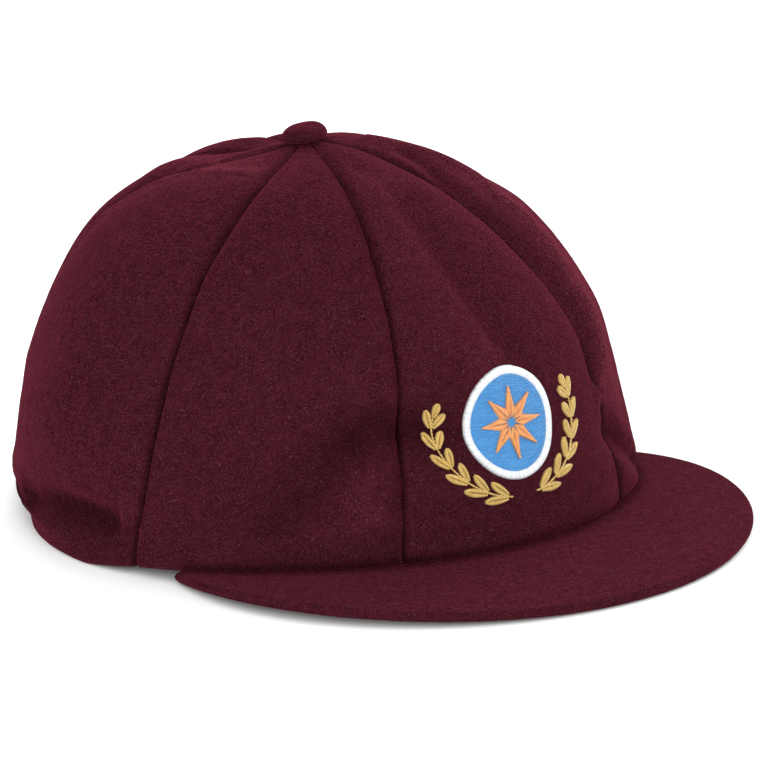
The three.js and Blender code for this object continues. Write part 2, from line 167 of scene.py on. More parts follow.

# Folds, dents and soft ridges. Each follows a line of (azimuth, height share); rise and the two
# spreads are millimetres. The left spread lies above a line that runs to growing azimuths. The second
# column is painted light along a fold's crest and painted shade in its hollow, on the scale set with the
# materials below; rows with no rise are painted light alone.
FOLD_NAMES = ("rise", "painted_shading", "left", "right", "line")
FOLD_ROWS = (
    # the wide arch of a dent that runs from the lower edge up and in under the badge
    (-2.5, -2.5, 6.5, 8, ((49, 0.12), (44, 0.19), (41, 0.26), (37, 0.31))),
    (-2.9, -2.9, 8, 6.5, ((33, 0.35), (28.5, 0.365), (20, 0.345))),
    (-1.2, -1.2, 8, 7, ((28, 0.365), (21, 0.35), (13, 0.32))),
    (1.3, 1.3, 7, 7, ((33, 0.15), (32, 0.19), (31, 0.26))),
    (0.8, 0.8, 4, 3, ((62, 0.035), (54, 0.055), (45, 0.085), (36, 0.105), (27, 0.125))),
    (-0.8, -0.8, 2.4, 2.4, ((26, 0.34), (27.3, 0.24), (28, 0.14))),
    # the front panel's soft ridge and the hollow beside it
    (1.4, 1.4, 9, 6, ((13, 0.91), (13.5, 0.85), (12.5, 0.79), (11, 0.72), (9, 0.65), (7, 0.58), (5.5, 0.5))),
    (-1.3, -1.3, 4.5, 9, ((8, 0.86), (7, 0.77), (4.5, 0.66), (2, 0.55))),
    # the long ridge beside the next seam: its crest turns away sharply
    (1.6, 1.6, 5, 4, ((-38, 0.76), (-36, 0.715), (-33, 0.61), (-32.5, 0.51), (-30.5, 0.44), (-26, 0.32))),
    (0.8, 0.8, 4, 4, ((-56, 0.964), (-51, 0.913), (-47, 0.855), (-39, 0.80))),
    # a narrow crest with a strong painted highlight along it
    (1.1, 6.5, 1.5, 1.5, ((-56, 0.964), (-51, 0.913), (-47, 0.855), (-39, 0.808), (-36, 0.715),
     (-33, 0.614), (-32.5, 0.514), (-30.5, 0.442), (-29.5, 0.383), (-25, 0.30))),
    (-1.5, -1.5, 3.2, 3.2, ((-40, 0.935), (-28, 0.89), (-26, 0.82), (-26, 0.72), (-26.5, 0.59),
     (-26, 0.47), (-25.5, 0.36))),
    # a broad band of painted light beyond the crest, without relief
    (0.0, 3.2, 8, 8, ((-52, 0.85), (-44, 0.73), (-41, 0.62), (-40, 0.5), (-38, 0.4), (-36, 0.3))),
    # short creases above the peak's end of the front
    (-2.4, -2.4, 4, 3, ((-26, 0.21), (-32, 0.14), (-42, 0.06))),
    (1.0, 1.0, 3.5, 4, ((-31, 0.19), (-38, 0.13))),
    (1.2, 1.2, 5, 5, ((-30, 0.08), (-38, 0.03))),
    # wrinkles of the side panel below the top, and the next panel's slack cloth
    # wrinkle crests whose painted light is stronger than their relief, here and in the next row
    (0.8, 2.6, 1.8, 2.2, ((104, 0.935), (92, 0.942), (79, 0.949))),
    (0.7, 4.0, 1.8, 2.0, ((129.5, 0.72), (130.5, 0.78), (131, 0.84), (131, 0.875), (126, 0.905),
     (119, 0.925), (108, 0.935))),
    # a line of painted light without relief
    (0.0, 3.0, 1.8, 1.8, ((134, 0.74), (134.2, 0.86), (132, 0.93), (129, 0.975))),
    (-1.5, 0, 7, 7, ((172, 0.972), (165, 0.965), (157, 0.955), (150, 0.945))),
    # a broad band of painted light without relief
    (0.0, 2.2, 9, 7, ((150, 0.92), (135, 0.93), (110, 0.945), (85, 0.955))),
    (0.6, 0.6, 6, 6, ((158, 0.89), (150, 0.88), (144, 0.875))),
    (0.7, 0.7, 1.6, 2.4, ((130, 0.945), (138, 0.975), (155, 0.985))),
    # the overhanging fold above the hem at the side
    (1.0, 1.0, 13, 2.6, ((81, 0.13), (86, 0.165), (93, 0.188), (104, 0.172), (114, 0.14), (128, 0.12))),
    (-4.6, -4.6, 4.6, 6.5, ((84, 0.125), (90, 0.143), (100, 0.14), (110, 0.112), (114, 0.10))),
    (-2.8, -2.8, 4.2, 6, ((121, 0.08), (132, 0.06), (142, 0.06))),
    (0.8, 1.0, 6, 6, ((139.4, 0.08), (138.8, 0.12), (137.5, 0.2), (136.3, 0.3), (135, 0.4))),
    # the side and back that the front view doesn't show
    (1.3, 1.3, 3, 11, ((-84, 0.13), (-92, 0.165), (-104, 0.15), (-116, 0.115))),
    (-1.8, -1.8, 6, 4.5, ((-86, 0.09), (-97, 0.115), (-109, 0.095))),
    (-1.1, -1.1, 9, 9, ((-70, 0.55), (-82, 0.46), (-96, 0.43))),
    (0.9, 0.9, 7, 7, ((-104, 0.80), (-122, 0.70), (-134, 0.58))),
    (-1.2, -1.2, 7, 7, ((-141, 0.36), (-152, 0.27), (-158, 0.19))),
    (-1.0, -1.0, 8, 8, ((172, 0.50), (166, 0.36), (169, 0.22))),
    (1.0, 1.0, 6, 6, ((-172, 0.30), (-166, 0.20), (-168, 0.12))),
    (1.0, 1.0, 6, 6, ((150, 0.28), (141, 0.20), (138, 0.12))),
)
FOLDS = [dict(zip(FOLD_NAMES, row)) for row in FOLD_ROWS]

# The panels, once round from the front past the wearer's right
PANELS = [
    "panel_" + side
    for side in "front front_right side_right back_right back back_left side_left front_left".split()
]

random = np.random.default_rng(RANDOM_SEED)


def smoothstep(x, low, high):
    t = np.clip((x - low) / (high - low), 0, 1)
    return t * t * (3 - 2 * t)


def turned(start, end):
    """The signed difference of two azimuths, between -180 and 180."""
    return (end - start + 180) % 360 - 180


def column_slopes(values):
    """Slopes of a smooth curve through one column of the section table that never overshoots its rows."""
    steps = np.diff(values) / np.diff(SECTIONS["height"])
    slopes = [steps[0]]
    for low, high in zip(steps, steps[1:]):
        slopes.append(2 * low * high / (low + high) if low * high > 0 else 0)
    return np.array(slopes + [steps[-1]])


SLOPES = {name: column_slopes(SECTIONS[name]) for name in SECTION_NAMES[1:]}


def section_share(name, share):
    heights, values, slopes = SECTIONS["height"], SECTIONS[name], SLOPES[name]
    share = np.clip(share, 0, 1)
    row = np.clip(np.searchsorted(heights, share), 1, len(heights) - 1)
    span = heights[row] - heights[row - 1]
    x = (share - heights[row - 1]) / span
    low = 2 * x**3 - 3 * x**2 + 1
    bends = slopes[row - 1] * (x**3 - 2 * x**2 + x) + slopes[row] * (x**3 - x**2)
    return values[row - 1] * low + values[row] * (1 - low) + span * bends


def section_radius(azimuth, share):
    along, across = np.cos(np.radians(azimuth)), np.sin(np.radians(azimuth))
    front, back = section_share("front", share), section_share("back", share)
    half_length = np.maximum(RIM_HALF_LENGTH * np.where(along > 0, front, back), 1e-6)
    half_width = np.maximum(RIM_HALF_WIDTH * section_share("side", share), 1e-6)
    return 1 / np.hypot(along / half_length, across / half_width)


def edge_height(azimuth):
    along = np.maximum(np.cos(np.radians(azimuth)), 0)
    return RIM_RISE * ((1 + RISE_FLATNESS) * along - RISE_FLATNESS * along**2)


def height_at(azimuth, share):
    edge = edge_height(azimuth)
    return edge + share * (CROWN_HEIGHT - edge)


def gather_at(azimuth):
    return smoothstep(np.abs(turned(0, azimuth)), GATHER_START, GATHER_FULL)


def top_sag(azimuth, radius):
    along = radius * np.cos(np.radians(azimuth - TOP_SLOPE_AZIMUTH))
    return (TOP_DIP + TOP_SLOPE * along) * np.exp(-((radius / TOP_REACH) ** 2))


def body_point(azimuth, share):
    """A point of the crown's outer face without seams, folds and gathers."""
    height = height_at(azimuth, share)
    pull = 1 - smoothstep(height, HEM_HEIGHT, OVERHANG_HEIGHT)
    radius = section_radius(azimuth, share) - ELASTIC_INSET * gather_at(azimuth) * pull
    x = -radius * np.sin(np.radians(azimuth))
    y = CROWN_LEAN * share**LEAN_POWER - radius * np.cos(np.radians(azimuth))
    return np.stack([x, y, height - top_sag(azimuth, radius)], -1)


SHARE_STEP = 0.002
AZIMUTH_STEP = 0.5


def unit(vectors):
    return vectors / np.maximum(np.linalg.norm(vectors, axis=-1, keepdims=True), 1e-12)


def body_normal(azimuth, share):
    """Outward direction, level along the lower edge."""
    low, high = np.maximum(share - SHARE_STEP, 0), np.minimum(share + SHARE_STEP, 1 - SHARE_STEP)
    sideways = body_point(azimuth + AZIMUTH_STEP, share) - body_point(azimuth - AZIMUTH_STEP, share)
    upwards = body_point(azimuth, high) - body_point(azimuth, low)
    normal = np.cross(upwards, sideways)
    normal[..., 2] *= smoothstep(share * CROWN_HEIGHT, HEM_ROUND, 3 * HEM_ROUND)
    return unit(normal)


# Length along the cloth from the lower edge, for each height share, on the crown's side
ARC_AZIMUTH = 60.0
ARC_SHARES = 1 - np.linspace(1, 0, 1200) ** 2
ARC_STEPS = np.diff(body_point(np.full(len(ARC_SHARES), ARC_AZIMUTH), ARC_SHARES), axis=0)
ARC_LENGTHS = np.concatenate([[0], np.cumsum(np.linalg.norm(ARC_STEPS, axis=1))])


def arc_at(share):
    return np.interp(share, ARC_SHARES, ARC_LENGTHS)


def share_at_arc(length):
    return np.interp(length, ARC_LENGTHS, ARC_SHARES)


SEAMS_RIM, SEAMS_TOP, SEAMS_SWAY = (
    np.concatenate([[-half[0]], half, full - half[::-1]])
    for half, full in ((SEAM_RIM, 360), (SEAM_TOP, 360), (SEAM_SWAY, 0))
)


def seam_azimuth(number, share):
    top = SEAMS_TOP[number]
    sway = SEAMS_SWAY[number] * np.exp(-(((share - SWAY_HEIGHT) / SWAY_SPREAD) ** 2))
    return top + (SEAMS_RIM[number] - top) * (1 - share) ** SEAM_BEND + sway


def seam_distance(azimuth, share, radius):
    nearest = np.full(np.shape(azimuth + share), 360.0)
    for number in range(len(PANELS)):
        nearest = np.minimum(nearest, np.abs(turned(seam_azimuth(number, share), azimuth)))
    return np.radians(nearest) * radius


def tautness(radius):
    """From 0 in the slack upper part of the crown to 1 near its rim."""
    return smoothstep(radius, 0.6 * RIM_HALF_WIDTH, 0.92 * RIM_HALF_WIDTH)


def seam_fade(radius):
    """Seams grow shallow towards the button."""
    return smoothstep(radius, -SEAM_FADE, RIM_HALF_WIDTH / 2)


def seam_crease(distance, radius):
    """The narrow line of a seam, which is wider in the slack upper part of the crown."""
    reach = CREASE_REACH + CREASE_WIDER * (1 - tautness(radius))
    return -seam_fade(radius) * CREASE_DEPTH * np.exp(-((distance / reach) ** 2))


def seam_relief(distance, radius):
    deep = SEAM_DEPTH * (1 - SEAM_SHALLOW * tautness(radius))
    valley = deep * np.exp(-((distance / SEAM_REACH) ** 2))
    return seam_crease(distance, radius) - seam_fade(radius) * valley


def seam_roll(distance, radius):
    """How far the cloth's edge rolls down into the seam."""
    roll = SEAM_ROLL * smoothstep(radius, 0, ROLL_REACH)
    inside = np.clip(roll - distance, 0, None)
    return np.sqrt(np.maximum(roll**2 - inside**2, 0)) - roll


def fold_relief(azimuth, share, radius, what="rise"):
    relief = 0
    arc = arc_at(share)
    for fold in FOLDS:
        nearest, side = np.full(np.shape(arc + azimuth), 1e9), 0
        for start, end in zip(fold["line"], fold["line"][1:]):
            du = np.radians(turned(start[0], end[0])) * radius
            dv = arc_at(end[1]) - arc_at(start[1])
            pu, pv = np.radians(turned(start[0], azimuth)) * radius, arc - arc_at(start[1])
            along = np.clip((pu * du + pv * dv) / (du**2 + dv**2), 0, 1)
            distance = np.hypot(pu - along * du, pv - along * dv)
            side = np.where(distance < nearest, du * pv - dv * pu, side)
            nearest = np.minimum(nearest, distance)
        spread = np.where(side > 0, fold["left"], fold["right"])
        relief = relief + fold[what] * np.exp(-((nearest / spread) ** 2))
    return relief


PUCKER_START = 124.0
PUCKER_FADE = 137.0
PUCKER_FULL = 152.0
PUCKER_SPACING = 6.4
PUCKER_SCATTER = 1.9
# The side panel's slack edge stands over the next panel where its seam is tucked in.
TUCK_SEAM = 3
TUCK_LOW = 0.3
TUCK_HIGH = 0.92
TUCK_GROWS = 0.22
TUCK_ENDS = 0.05
TUCK_RISE = 0.6
TUCK_DROP = -2.2
TUCK_SPREAD = 7.0


def tuck_relief(azimuth, share, radius):
    """A step across one seam, in millimetres: up before it and down behind it."""
    across = np.radians(turned(seam_azimuth(TUCK_SEAM, share), azimuth)) * radius
    reach = smoothstep(share, TUCK_LOW, TUCK_LOW + TUCK_GROWS)
    reach = reach * (1 - smoothstep(share, TUCK_HIGH - TUCK_ENDS, TUCK_HIGH))
    side = np.where(across < 0, TUCK_RISE, TUCK_DROP)
    return side * reach * np.exp(-((across / TUCK_SPREAD) ** 2))


# Puckers of the gathered hem: places round the back, with each one's depth, width, height and slant
PUCKER_RANGES = ((0.6, 1.5), (1.3, 2.6), (8, 24), (-0.12, 0.12))
PUCKER_STEPS = np.arange(PUCKER_START, 360 - PUCKER_START, PUCKER_SPACING)
PUCKER_PLACES = PUCKER_STEPS + random.uniform(-PUCKER_SCATTER, PUCKER_SCATTER, len(PUCKER_STEPS))
PUCKER_SHAPES = [random.uniform(low, high, len(PUCKER_PLACES)) for low, high in PUCKER_RANGES]
PUCKERS = np.stack([PUCKER_PLACES, *PUCKER_SHAPES], -1)


def gather_relief(azimuth, share, radius):
    height = height_at(azimuth, share)
    fade = 1 - smoothstep(height, 0, GATHER_HEIGHT)
    wave = 0.5 + 0.5 * np.cos(np.radians(azimuth * GATHER_WAVES))
    fine = smoothstep(np.abs(turned(0, azimuth)), PUCKER_FADE, PUCKER_FULL)
    relief = -GATHER_SOFTER * GATHER_DEPTH * fine * fade * wave
    for place, depth, width, tall, slant in PUCKERS:
        across = np.radians(turned(place, azimuth)) * radius + slant * height
        strength = depth * smoothstep(abs(turned(0, place)), PUCKER_FADE, PUCKER_FULL)
        relief = relief - strength * np.exp(-((across / width) ** 2)) * np.exp(-((height / tall) ** 2))
    return relief


# Shallow waves in all directions, as in soft wool cloth that was handled
WAVE_COUNT = 26
WAVE_STEEPNESS = 0.00125
WAVE_AXES = unit(random.normal(size=(WAVE_COUNT, 3)))
WAVE_LENGTHS = random.uniform(9, 42, WAVE_COUNT)
WAVE_PHASES = random.uniform(0, 2 * math.pi, WAVE_COUNT)


def softness(points):
    """A small uneven relief of the cloth, in millimetres."""
    phase = (points @ WAVE_AXES.T) * (2 * math.pi / WAVE_LENGTHS) + WAVE_PHASES
    return (np.sin(phase) * WAVE_LENGTHS).sum(-1) * WAVE_STEEPNESS


def crown_painted_shading(azimuth, share):
    """How far a place stands out of the cloth round it, as painted shading: painted light on ridges, painted
    shade in hollows and seam creases, and painted shadow above the peak and round the button's foot.
    """
    azimuth, share = np.broadcast_arrays(np.asarray(azimuth, float), np.asarray(share, float))
    radius = section_radius(azimuth, share)
    distance = seam_distance(azimuth, share, radius)
    # painted light and shade of the folds, and painted shade in the seam creases
    painted_shading = fold_relief(azimuth, share, radius, "painted_shading") + SEAM_PAINTED_SHADE * seam_crease(distance, radius)
    above = height_at(azimuth, share) - edge_height(azimuth)
    # painted shadow along the lower edge above the peak, and round the button's foot
    front = 1 - smoothstep(np.abs(turned(0, azimuth)), PEAK_END - JOIN_FADE, PEAK_END)
    button_painted_shadow = np.exp(-((radius / (BUTTON_RADIUS + JOIN_REACH / 2)) ** 6))
    return painted_shading - JOIN_PAINTED_SHADOW * (front * np.exp(-((above / JOIN_REACH) ** 2)) + button_painted_shadow)


def crown_point(azimuth, share, lift=0.0, rolled=True):
    azimuth, share = np.broadcast_arrays(np.asarray(azimuth, float), np.asarray(share, float))
    radius = section_radius(azimuth, share)
    distance = seam_distance(azimuth, share, radius)
    body = body_point(azimuth, share)
    relief = seam_relief(distance, radius) + fold_relief(azimuth, share, radius)
    relief = relief + tuck_relief(azimuth, share, radius)
    relief = relief + gather_relief(azimuth, share, radius) + softness(body)
    if rolled:
        relief = relief + seam_roll(distance, radius)
    return body + body_normal(azimuth, share) * (relief + lift)[..., None]


# Place of the crown's frame in the row frame
PEAK_LOW, PEAK_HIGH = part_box("peak")
OFFSET = np.array([(PEAK_LOW.x + PEAK_HIGH.x) / 2, PEAK_LOW.y, 0]) / MM
OFFSET[1] += RIM_HALF_LENGTH + PEAK_REACH


def link(name, data):
    """A new object in the scene."""
    made = bpy.data.objects.new(name, data)
    bpy.context.scene.collection.objects.link(made)
    return made


def add_piece(name, points, faces, material, slot, replaced=None, attributes=None):
    """A mesh in the row frame that rides on the cap."""
    mesh = bpy.data.meshes.new(name)
    mesh.from_pydata(((np.asarray(points) + OFFSET) * MM).tolist(), [], faces)
    for label, values in (attributes or {}).items():
        layer = mesh.attributes.new(label, "FLOAT", "POINT")
        layer.data.foreach_set("value", np.asarray(values, np.float32))
    mesh.shade_smooth()
    mesh.update()
    piece = link(name, mesh)
    mesh.materials.append(material)
    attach(piece, "root")
    if replaced:
        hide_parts(replaced)
    return piece


def grid_faces(columns, rows, first=0, flip=False):
    """Quads of a grid whose points are listed column by column."""
    column, row = np.meshgrid(np.arange(columns - 1), np.arange(rows - 1), indexing="ij")
    a = first + column.ravel() * rows + row.ravel()
    b = a + rows
    quads = np.stack([b, b + 1, a + 1, a] if flip else [a, a + 1, b + 1, b], -1)
    return quads.tolist()


def border_of(columns, rows, first=0):
    """The border of a grid, once round."""
    up = first + np.arange(rows)
    across = first + np.arange(columns) * rows
    last = first + (columns - 1) * rows
    return (up, across + rows - 1, (last + np.arange(rows))[::-1], across[::-1])


def stitch(fine, coarse):
    """Faces between two lines of points that run side by side, the first with more points."""
    faces = []
    ratio = (len(fine) - 1) / (len(coarse) - 1)
    cuts = [round(k * ratio) for k in range(len(coarse))]
    for k in range(len(coarse) - 1):
        faces.append([int(v) for v in (*fine[cuts[k] : cuts[k + 1] + 1], coarse[k + 1], coarse[k])])
    return faces


def two_sheets(outer, inner):
    """Points and faces of a wall between an outer and an inner grid, each as columns x rows x 3."""
    (oc, orows), (ic, irows) = outer.shape[:2], inner.shape[:2]
    first = oc * orows
    faces = grid_faces(oc, orows) + grid_faces(ic, irows, first, flip=True)
    for fine, coarse in zip(border_of(oc, orows), border_of(ic, irows, first)):
        faces += [face[::-1] for face in stitch(fine, coarse)]
    return np.concatenate([outer.reshape(-1, 3), inner.reshape(-1, 3)]), faces


def panel_columns(width):
    """Distances from one seam to the next across a panel of a given width, closer near the seams."""
    edge = np.array([0.0, 0.06, 0.16, 0.3, 0.5, 0.75, 1.1, 1.6, 2.3])
    count = int(round((width - 2 * edge[-1]) / GRID_STEP))
    middle = np.linspace(edge[-1], width - edge[-1], count + 1)[1:-1]
    return np.concatenate([edge, middle, (width - edge)[::-1]])


CENTRE_HOLE = 1.6
NARROW_PANEL = 12.0
ROW_GROWTH = 1.06
INNER_COARSER = 3
ROUND_ANGLES = np.radians([180, 150, 120, 90, 60, 35, 15, 0])
HEM_LIFT = HEM_ROUND * (np.cos(ROUND_ANGLES) - 1)
HEM_DROP = np.where(ROUND_ANGLES < math.pi / 2, HEM_TALL, HEM_ROUND) * (1 - np.sin(ROUND_ANGLES))
HEM_TOP = 1.25 * HEM_TALL


def panel_piece(number, material):
    name, following = PANELS[number], (number + 1) % len(PANELS)
    span = (SEAMS_RIM[following] - SEAMS_RIM[number]) % 360
    widest = math.radians(span) * section_radius(SEAMS_RIM[number] + span / 2, 0.05)
    across = panel_columns(float(widest))
    top_arc = np.interp(CENTRE_HOLE, section_radius(ARC_AZIMUTH, ARC_SHARES)[::-1], ARC_LENGTHS[::-1])
    arcs = np.linspace(0, 1, int(top_arc / GRID_STEP)) ** ROW_GROWTH * (top_arc - HEM_TOP) + HEM_TOP
    shares = np.concatenate([HEM_DROP / CROWN_HEIGHT, share_at_arc(arcs)])
    lifts = np.concatenate([HEM_LIFT, np.zeros(len(arcs))])

    def sheet(across, shares, lifts, rolled):
        share = shares[None, :]
        start = seam_azimuth(number, share)
        turn = turned(start, seam_azimuth(following, share))
        width = np.radians(turn) * section_radius(start + turn / 2, share)
        near = np.minimum(across, widest - across)[:, None]
        part = (across / widest)[:, None]
        # columns near a seam keep their distance from it where the panel narrows
        kept = np.minimum(near * np.minimum(1, width / NARROW_PANEL), width / 2)
        blend = smoothstep(near / np.maximum(width, 1e-6), 0.12, 0.3)
        left = np.where(part < 0.5, kept / width, 1 - kept / width)
        position = np.clip(left * (1 - blend) + part * blend, 0, 1)
        position = np.maximum.accumulate(position, axis=0)
        azimuth = start + turn * position
        share = np.broadcast_to(share, azimuth.shape)
        return crown_point(azimuth, share, lifts[None, :], rolled), crown_painted_shading(azimuth, share)

    outer, outer_painted_shading = sheet(across, shares, lifts, True)
    coarse = np.unique(np.round(np.linspace(0, len(across) - 1, len(across) // INNER_COARSER)).astype(int))
    inner_arcs = np.linspace(arcs[0], arcs[-1], len(arcs) // INNER_COARSER)
    inner_shares = np.concatenate([[HEM_ROUND / CROWN_HEIGHT], share_at_arc(inner_arcs)])
    inner, inner_painted_shading = sheet(across[coarse], inner_shares, np.full(len(inner_shares), -CLOTH), False)
    points, faces = two_sheets(outer, inner)
    # only the outer face carries the painted light and shade
    painted_shading = np.concatenate([outer_painted_shading.ravel(), 0 * inner_painted_shading.ravel()])
    return add_piece("cloth_" + name, points, faces, material, "wool", name, {"painted_shading": painted_shading})


def peak_share(azimuth):
    return np.maximum(1 - (azimuth / PEAK_END) ** 2, 0)


def peak_surface(azimuth, out, side):
    """A point of the peak: out runs from 0 under the crown to 1 at the edge, and side is 1 or -1."""
    wall = section_radius(azimuth, 0.0)
    reach = PEAK_REACH * peak_share(azimuth)
    round_ = PEAK_THICKNESS / 2
    to_end = np.radians(PEAK_END - np.abs(azimuth)) * wall
    half = round_ * np.sqrt(np.clip(1 - (1 - np.clip(to_end / PEAK_END_ROUND, 0, 1)) ** 2, 0.0004, 1))
    inner = wall - CLOTH - PEAK_TUCK
    radius_out = wall + reach
    angle = np.clip((out - PEAK_EDGE_FROM) / (1 - PEAK_EDGE_FROM), 0, 1) * math.pi / 2
    flat = np.clip(out / PEAK_EDGE_FROM, 0, 1)
    radius = inner + (radius_out - half - inner) * flat + half * np.sin(angle)
    outward = np.clip((radius - wall) / np.maximum(reach, round_), 0, 1)
    drop = RIM_RISE - PEAK_GAP - PEAK_THICKNESS
    lean = peak_share(azimuth) * (PEAK_ARCH * np.sin(np.radians(azimuth)) ** 2 - drop)
    middle = edge_height(azimuth) - PEAK_GAP - round_ + lean * outward**PEAK_CURVE
    x, y = -radius * np.sin(np.radians(azimuth)), -radius * np.cos(np.radians(azimuth))
    flat_point = np.stack([x, y, middle], -1)
    rise = (half + PEAK_UNEVEN * softness(flat_point)) * np.cos(angle)
    return flat_point + np.array([0, 0, 1.0]) * (side * rise)[..., None]


def peak_painted_shading(azimuth, out):
    """Painted shadow where the peak runs in under the crown."""
    tucked = CLOTH + PEAK_TUCK
    outward = (PEAK_REACH * peak_share(azimuth) + tucked) * out / PEAK_EDGE_FROM - tucked
    return -JOIN_PAINTED_SHADOW * np.exp(-((np.maximum(outward, 0) / JOIN_REACH) ** 2))


def peak_sheet(columns, rows, edge_rows, side):
    """One face of the peak: azimuths, places outwards and points, with rows that are close at the edge."""
    azimuth = PEAK_END * np.sin(math.pi * (np.linspace(0, 1, columns) - 0.5))[:, None]
    edge = np.linspace(PEAK_EDGE_FROM, 1, edge_rows + 1)[1:]
    out = np.concatenate([np.linspace(0, PEAK_EDGE_FROM, rows), edge])[None, :]
    return azimuth, out, peak_surface(*np.broadcast_arrays(azimuth, out), side)


def peak_piece(material):
    azimuth, out, top = peak_sheet(PEAK_COLUMNS, PEAK_ROWS, PEAK_EDGE_ROWS, 1)
    # the underside has a third of the columns and rows, and half of them at the edge
    under = peak_sheet(PEAK_COLUMNS // 3, (PEAK_ROWS + PEAK_EDGE_ROWS) // 3, PEAK_EDGE_ROWS // 2, -1)[2]
    # the grids run out along their rows, so the faces are turned over
    points, faces = two_sheets(top, under)
    # the top face carries the painted shadow under the crown
    painted_shading = np.concatenate([peak_painted_shading(azimuth, out).ravel(), np.zeros(under[..., 0].size)])
    flipped = [f[::-1] for f in faces]
    return add_piece("cloth_peak", points, flipped, material, "peak_wool", "peak", {"painted_shading": painted_shading})


def tilt_matrix():
    """The tilt of the top, which the button shares."""
    tilt = -math.atan(TOP_SLOPE)
    across = math.radians(180 - TOP_SLOPE_AZIMUTH)
    forward = Matrix.Rotation(tilt * math.cos(across), 3, "X")
    sideways = Matrix.Rotation(tilt * math.sin(across), 3, "Y")
    return np.array(forward @ sideways)


def button_profile(t):
    """Radius and height of the covered button, from the middle of its underside over its edge to its top."""
    angle = -0.5 * math.pi + t * math.pi
    under = angle < 0
    radius = BUTTON_RADIUS * np.abs(np.cos(angle)) ** np.where(under, 0.34, 0.6)
    widest = BUTTON_WIDEST * BUTTON_HEIGHT
    spans = np.where(under, widest, BUTTON_HEIGHT - widest)
    return radius, widest + spans * np.sin(angle)


def button_points(turn, t):
    """The covered button, pleated round its underside, with a top that is a little uneven."""
    radius, height = button_profile(t)
    pleats = BUTTON_PLEAT_DEPTH * np.sin(turn * BUTTON_PLEATS + 1.3)
    pleats = pleats * np.exp(-((height / 1.5) ** 2)) * (radius > 1)
    bulge = 0.16 * np.sin(turn * 2 + 0.7) + 0.12 * np.sin(turn * 3 + 2.1)
    bulge = bulge - 0.35 * np.cos(turn - BUTTON_LOW_SIDE)
    wide = radius * (1 + 0.02 * np.sin(turn * 2)) + pleats
    tall = height + bulge * (height / BUTTON_HEIGHT) ** 2 * radius / BUTTON_RADIUS
    local = np.stack([wide * np.cos(turn), wide * np.sin(turn), tall], -1)
    button_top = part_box("button")[1].z / MM - BUTTON_TOP_DROP
    return local @ tilt_matrix().T + np.array([0, CROWN_LEAN, button_top])


def button_piece(material):
    sides, steps = 120, 60
    turn = np.linspace(0, 2 * math.pi, sides, endpoint=False)[:, None]
    t = np.linspace(0.004, 0.996, steps)[None, :]
    points = button_points(*np.broadcast_arrays(turn, t)).reshape(-1, 3)
    # the last quads round run back to the first points
    faces = [[v % len(points) for v in face] for face in grid_faces(sides + 1, steps, flip=True)]
    firsts = range(0, len(points), steps)
    faces += [list(firsts)[::-1], [first + steps - 1 for first in firsts]]
    return add_piece("cloth_button", points, faces, material, "wool", "button")


# Threads and fibres


def tubes(paths, radii, sides, flat=1.0, ups=None):
    """Closed tubes along paths (tubes x points x 3) with a radius for each point."""
    count, steps = paths.shape[:2]
    along = unit(np.gradient(paths, axis=1))
    up = np.broadcast_to(np.array([0.0, 0.0, 1.0]), along.shape) if ups is None else ups
    side = unit(np.cross(along, up))
    over = np.cross(side, along)
    turn = np.arange(sides) * 2 * math.pi / sides
    ring = side[:, :, None] * np.cos(turn)[:, None] + over[:, :, None] * (flat * np.sin(turn))[:, None]
    points = paths[:, :, None] + ring * np.broadcast_to(radii, (count, steps))[:, :, None, None]
    first = (np.arange(count) * steps * sides)[:, None, None]
    step, corner = np.meshgrid(np.arange(steps - 1), np.arange(sides), indexing="ij")
    a = first + step * sides + corner
    b = first + step * sides + (corner + 1) % sides
    quads = np.stack([a, b, b + sides, a + sides], -1).reshape(-1, 4)
    faces = quads.tolist()
    for start in (np.arange(count) * steps * sides).tolist():
        faces.append([start + k for k in range(sides)][::-1])
        faces.append([start + (steps - 1) * sides + k for k in range(sides)])
    return points.reshape(-1, 3), faces


def badge_place(across, up, lift):
    """A place on the badge, from its middle: across to the viewer's right and up, lifted off the cloth."""
    share = BADGE_SHARE + up / (CROWN_HEIGHT - RIM_RISE)
    azimuth = BADGE_AZIMUTH - np.degrees(across / section_radius(BADGE_AZIMUTH, share))
    return crown_point(azimuth, share, lift)


def badge_normal():
    azimuth, share = np.array(BADGE_AZIMUTH), np.array(BADGE_SHARE)
    return body_normal(azimuth[None], share[None])[0]


def stitches(starts, ends, kind):
    """Raised threads from starts to ends, each a pair (across, up), which dive in at both ends."""
    base, height, radius = STITCH_ROWS[kind]
    starts, ends = np.asarray(starts, float), np.asarray(ends, float)
    t = np.linspace(0, 1, STITCH_STEPS)
    places = starts[:, None] + (ends - starts)[:, None] * t[None, :, None]
    bow = np.sin(math.pi * t) ** 0.45
    uneven = random.uniform(-0.05, 0.05, len(starts))[:, None]
    lift = base + (height + uneven) * bow[None, :] - 0.25 * (1 - bow[None, :])
    paths = badge_place(places[..., 0], places[..., 1], lift)
    radii = radius * (0.55 + 0.45 * bow)[None, :] * random.uniform(0.92, 1.08, len(starts))[:, None]
    ups = np.broadcast_to(badge_normal(), paths.shape)
    points, faces = tubes(paths, radii, STITCH_SIDES, 0.8, ups)
    shade = np.repeat(random.uniform(0, 1, len(starts)), STITCH_STEPS * STITCH_SIDES)
    along = np.linalg.norm(ends - starts, axis=1)[:, None, None] * t[None, :, None]
    twist = along / TWIST_LENGTH + np.arange(STITCH_SIDES)[None, None, :] / STITCH_SIDES
    return points, faces, shade, twist.reshape(-1)


def thread_piece(name, parts, material, slot, replaced):
    points, faces, shades, twists = zip(*parts)
    firsts = np.cumsum([0] + [len(part) for part in points]).tolist()
    shifted = [[v + first for v in face] for first, part in zip(firsts, faces) for face in part]
    fields = {"shade": np.concatenate(shades), "twist": np.concatenate(twists)}
    return add_piece(name, np.concatenate(points), shifted, material, slot, replaced, fields)


